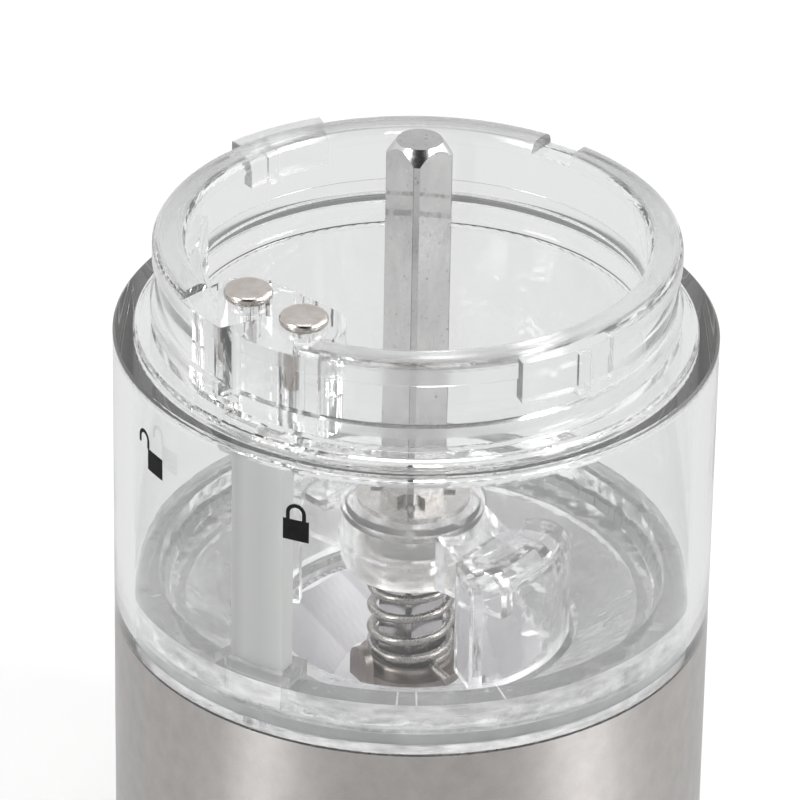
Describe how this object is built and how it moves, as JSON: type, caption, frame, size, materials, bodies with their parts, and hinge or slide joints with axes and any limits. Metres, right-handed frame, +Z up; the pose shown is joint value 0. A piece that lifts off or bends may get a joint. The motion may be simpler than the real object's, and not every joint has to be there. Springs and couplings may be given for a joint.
{
  "type": "spice grinder body",
  "caption": "Lower body of an electric spice grinder: clear refill chamber with open neck, steel sleeve, square drive shaft, ceramic mill and adjusting knob.",
  "frame": {"origin": "centre of the base, on the surface that the body stands on", "axes": "+Z up along the drive shaft; the picture's camera looks along +Y from the front; +X is to its right"},
  "size_m": [0.06, 0.06, 0.0886],
  "materials": {
    "clear_plastic": "clear moulded acrylic, polished",
    "clear_insert": "clear moulded acrylic",
    "clear_bridge": "clear moulded acrylic with sink marks",
    "frosted_plastic": "grey satin moulding",
    "brushed_sleeve": "brushed round the body, satin",
    "shaft_steel": "dull bright plating",
    "washer_steel": "bright pressed sheet",
    "screw_steel": "bright zinc plating",
    "spring_steel": "drawn wire",
    "stirrer_steel": "pressed sheet, brown-grey",
    "nickel": "satin nickel plating",
    "ceramic": "white fired ceramic",
    "black_plastic": "fine grained moulding",
    "silicone": "translucent silicone",
    "pale_insulation": "soft insulation",
    "grey_insulation": "soft insulation",
    "circuit_board": "solder mask",
    "lamp_lens": "moulded lamp body",
    "brass": "turned brass"
  },
  "bodies": {
    "housing": {"chamber": "clear_plastic", "steel_sleeve": "brushed_sleeve", "base_ring": "black_plastic", "base_screws": "screw_steel", "funnel": "clear_insert", "seal_ring": "silicone", "mill_bridge": "clear_bridge", "outer_burr": "ceramic", "burr_retainer": "black_plastic", "retainer_screws": "screw_steel", "wire_channel": "frosted_plastic", "contact_pin_left": "nickel", "contact_pin_right": "nickel", "lead_left": "pale_insulation", "lead_right": "grey_insulation", "led_board": "circuit_board", "led_lamp": "lamp_lens"},
    "shaft": {"drive_shaft": "shaft_steel", "retaining_washer": "washer_steel", "spring_washer": "washer_steel", "spring": "spring_steel"},
    "rotor": {"inner_burr": "ceramic", "stirrer": "stirrer_steel", "knob_washer": "washer_steel"},
    "knob": {"adjusting_knob": "black_plastic", "knob_nut": "brass"}
  },
  "joints": [
    {"name": "shaft_spin", "type": "hinge", "parent": "housing", "child": "shaft", "pos_m": [0, 0, 0.045], "axis": [0, 0, 1], "continuous": true},
    {"name": "burr_lift", "type": "slide", "parent": "shaft", "child": "rotor", "axis": [0, 0, 1], "range_m": [0, 0.0012], "deforming": ["spring"]},
    {"name": "knob_turn", "type": "hinge", "parent": "rotor", "child": "knob", "pos_m": [0, 0, 0.0134], "axis": [0, 0, 1], "range_deg": [0, 540]}
  ],
  "couplings": [
    {"joint": "knob_turn", "follows": "burr_lift", "rad_per_m": 7854}
  ]
}
